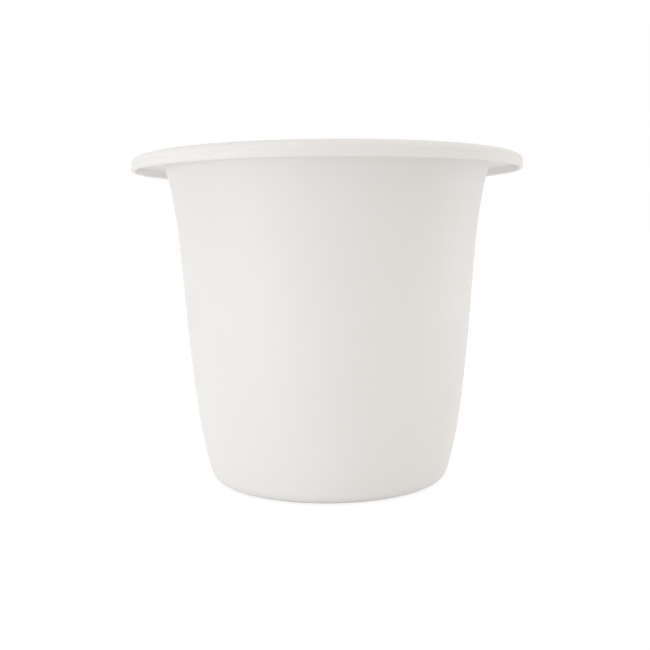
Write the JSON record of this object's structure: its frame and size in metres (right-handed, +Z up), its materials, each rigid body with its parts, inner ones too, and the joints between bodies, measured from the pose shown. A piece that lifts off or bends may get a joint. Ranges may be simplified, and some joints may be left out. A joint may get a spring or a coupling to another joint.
{
  "type": "round planter",
  "caption": "Bell-shaped round planter with a wide rolled rim, a lift-out drainage grid on wick cups and pull-out drain plugs.",
  "frame": {"origin": "on the pot's axis, on the ground under the foot ring", "axes": "+Z up along the pot's axis; the drain holes lie on the X and Y axes and the wick cups between them"},
  "size_m": [0.4, 0.4, 0.3355],
  "materials": {
    "pot_plastic": "off-white moulded plastic, fine satin surface",
    "grid_plastic": "dark grey moulded plastic, matt",
    "plug_rubber": "black rubber, matt"
  },
  "bodies": {
    "pot": {"pot_shell": "pot_plastic"},
    "grid": {"drainage_grid": "grid_plastic"},
    "plug_1": {"drain_plug_1": "plug_rubber"},
    "plug_2": {"drain_plug_2": "plug_rubber"},
    "plug_3": {"drain_plug_3": "plug_rubber"},
    "plug_4": {"drain_plug_4": "plug_rubber"}
  },
  "joints": [
    {"name": "grid_lift", "type": "slide", "parent": "pot", "child": "grid", "axis": [0, 0, 1], "range_m": [0, 0.33]},
    {"name": "plug_pull_1", "type": "slide", "parent": "pot", "child": "plug_1", "axis": [0, 0, 1], "range_m": [0, 0.017]},
    {"name": "plug_pull_2", "type": "slide", "parent": "pot", "child": "plug_2", "axis": [0, 0, 1], "range_m": [0, 0.017]},
    {"name": "plug_pull_3", "type": "slide", "parent": "pot", "child": "plug_3", "axis": [0, 0, 1], "range_m": [0, 0.017]},
    {"name": "plug_pull_4", "type": "slide", "parent": "pot", "child": "plug_4", "axis": [0, 0, 1], "range_m": [0, 0.017]}
  ]
}
